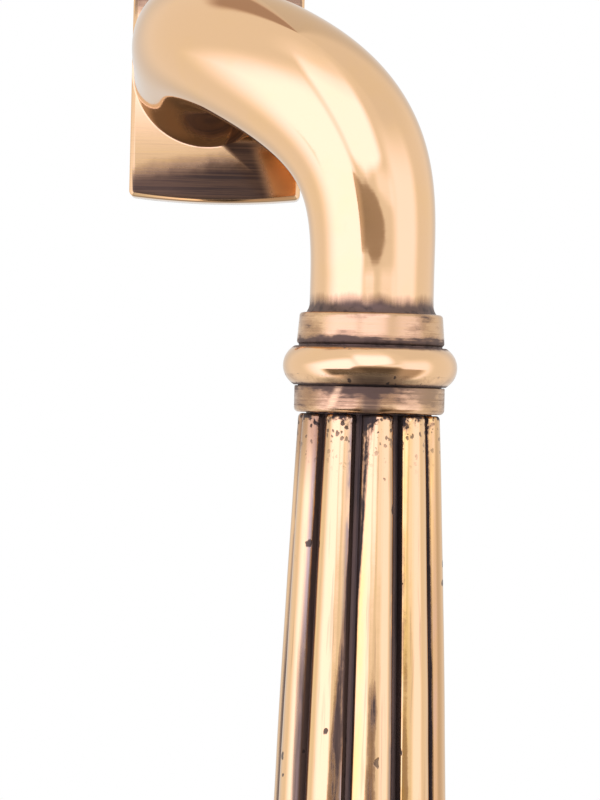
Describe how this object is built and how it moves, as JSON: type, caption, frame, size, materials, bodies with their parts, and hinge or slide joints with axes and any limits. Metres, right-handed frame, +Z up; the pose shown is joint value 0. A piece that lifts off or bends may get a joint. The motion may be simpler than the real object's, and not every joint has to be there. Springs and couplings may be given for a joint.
{
  "type": "espagnolette window handle",
  "caption": "Polished bronze window handle: arched back plate, swan neck, turned rings and a reeded grip that widens to its foot, on a turning square spindle.",
  "frame": {"origin": "on the spindle's axis at the back plane of the plate, midway between the two fixing holes", "axes": "+Y into the window along the spindle, -Y towards the person, +X to the side the grip is offset to, +Z up"},
  "size_m": [0.0439, 0.0885, 0.1371],
  "materials": {
    "bronze": "polished, dark patina in the recesses",
    "bearing_bronze": "bored",
    "steel": "bright zinc"
  },
  "bodies": {
    "plate": {"back_plate": "bronze", "pivot_bush": "bearing_bronze"},
    "handle": {"neck": "bronze", "neck_collar": "bronze", "bead_ring": "bronze", "grip_collar": "bronze", "grip": "bronze", "end_collar": "bronze", "end_bead": "bronze", "end_cap": "bronze", "spindle": "steel", "spindle_pin": "steel", "stop_washer": "steel", "retaining_clip": "steel", "wave_washer": "steel", "detent_balls": "steel", "detent_springs": "steel", "tie_stud": "steel", "anti_turn_pin": "steel", "lock_washer": "steel"}
  },
  "joints": [
    {"name": "handle_turn", "type": "hinge", "parent": "plate", "child": "handle", "pos_m": [0, 0, 0], "axis": [0, -1, 0], "range_deg": [0, 90]}
  ]
}
